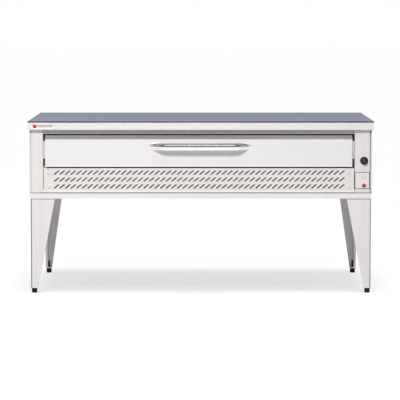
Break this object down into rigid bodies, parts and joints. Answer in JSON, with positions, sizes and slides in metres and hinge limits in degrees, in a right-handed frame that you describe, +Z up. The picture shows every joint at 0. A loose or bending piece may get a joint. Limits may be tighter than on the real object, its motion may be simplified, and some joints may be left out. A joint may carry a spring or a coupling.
{
  "type": "deck oven",
  "caption": "Wide low stainless gas deck oven on tapered angle legs, with a full-width bottom-hinged door, tube handle, louvred burner panel, thermostat knob and igniter button.",
  "frame": {"origin": "on the floor at the centre of the overall box", "axes": "+Z up, the front with the door faces -Y, +X is to the right seen from the front"},
  "size_m": [1.981, 1.1935, 0.9918],
  "materials": {
    "top_steel": "satin, fine even grain",
    "stainless": "satin, fine vertical grain",
    "polished_steel": "polished tube",
    "badge_metal": "plain matt plate",
    "fastener_steel": "bright zinc",
    "hinge_steel": "turned steel",
    "aluminised_steel": "dull aluminised sheet",
    "dark_iron": "heat-darkened",
    "burner_steel": "heat-darkened tube",
    "hearth_stone": "matt fired stone",
    "wool": "mineral wool",
    "brass": "turned brass",
    "valve_aluminium": "die-cast",
    "black_plastic": "fine matt",
    "dial_metal": "matt",
    "bezel_chrome": "bright",
    "red_plastic": "gloss"
  },
  "bodies": {
    "oven": {"access_cover": "stainless", "back_panel": "aluminised_steel", "badge_plate": "badge_metal", "base_cross_rails": "stainless", "base_side_rails": "stainless", "bottom_pan": "aluminised_steel", "burner_brackets": "aluminised_steel", "burner_orifices": "brass", "burner_tubes": "burner_steel", "chamber_back": "aluminised_steel", "chamber_ceiling": "aluminised_steel", "chamber_walls": "aluminised_steel", "control_stile": "stainless", "flame_deflectors": "aluminised_steel", "flue_collar": "aluminised_steel", "front_fascia": "stainless", "gas_manifold": "burner_steel", "gas_pipes": "burner_steel", "gas_valve": "valve_aluminium", "header_rail": "stainless", "hearth_sill": "aluminised_steel", "hearth_slabs": "hearth_stone", "hearth_supports": "dark_iron", "hinge_brackets": "hinge_steel", "hinge_bushes": "brass", "hinge_covers": "stainless", "hood_side_trims": "stainless", "igniter_bezel": "bezel_chrome", "igniter_body": "black_plastic", "insulation_back": "wool", "insulation_sides": "wool", "insulation_top": "wool", "left_stile": "stainless", "leg_bolts": "fastener_steel", "leg_front_left": "stainless", "leg_front_right": "stainless", "leg_rear_left": "stainless", "leg_rear_right": "stainless", "lower_rail": "stainless", "mouth_frame": "dark_iron", "panel_screws": "fastener_steel", "side_panel_left": "stainless", "side_panel_right": "stainless", "thermostat_body": "valve_aluminium", "thermostat_dial": "dial_metal", "top_plate": "top_steel", "vent_panel": "stainless"},
    "door": {"door_panel": "stainless", "door_liner": "aluminised_steel", "door_insulation": "wool", "door_handle": "polished_steel", "handle_studs": "fastener_steel", "hinge_pins": "hinge_steel", "counterweight": "dark_iron"},
    "knob": {"thermostat_knob": "black_plastic"},
    "button": {"igniter_button": "red_plastic"},
    "foot_front_left_body": {"foot_front_left": "black_plastic"},
    "foot_front_right_body": {"foot_front_right": "black_plastic"},
    "foot_rear_left_body": {"foot_rear_left": "black_plastic"},
    "foot_rear_right_body": {"foot_rear_right": "black_plastic"}
  },
  "joints": [
    {"name": "door_hinge", "type": "hinge", "parent": "oven", "child": "door", "pos_m": [0, -0.49825, 0.7608], "axis": [1, 0, 0], "range_deg": [0, 90]},
    {"name": "knob_turn", "type": "hinge", "parent": "oven", "child": "knob", "pos_m": [0.937, -0.50825, 0.7638], "axis": [0, -1, 0], "range_deg": [0, 270]},
    {"name": "igniter_push", "type": "slide", "parent": "oven", "child": "button", "axis": [0, 1, 0], "range_m": [0, 0.004], "stiffness_N_per_m": 600, "springref_m": -0.003},
    {"name": "level_front_left", "type": "slide", "parent": "oven", "child": "foot_front_left_body", "axis": [0, 0, -1], "range_m": [0, 0.025]},
    {"name": "level_front_right", "type": "slide", "parent": "oven", "child": "foot_front_right_body", "axis": [0, 0, -1], "range_m": [0, 0.025]},
    {"name": "level_rear_left", "type": "slide", "parent": "oven", "child": "foot_rear_left_body", "axis": [0, 0, -1], "range_m": [0, 0.025]},
    {"name": "level_rear_right", "type": "slide", "parent": "oven", "child": "foot_rear_right_body", "axis": [0, 0, -1], "range_m": [0, 0.025]}
  ]
}
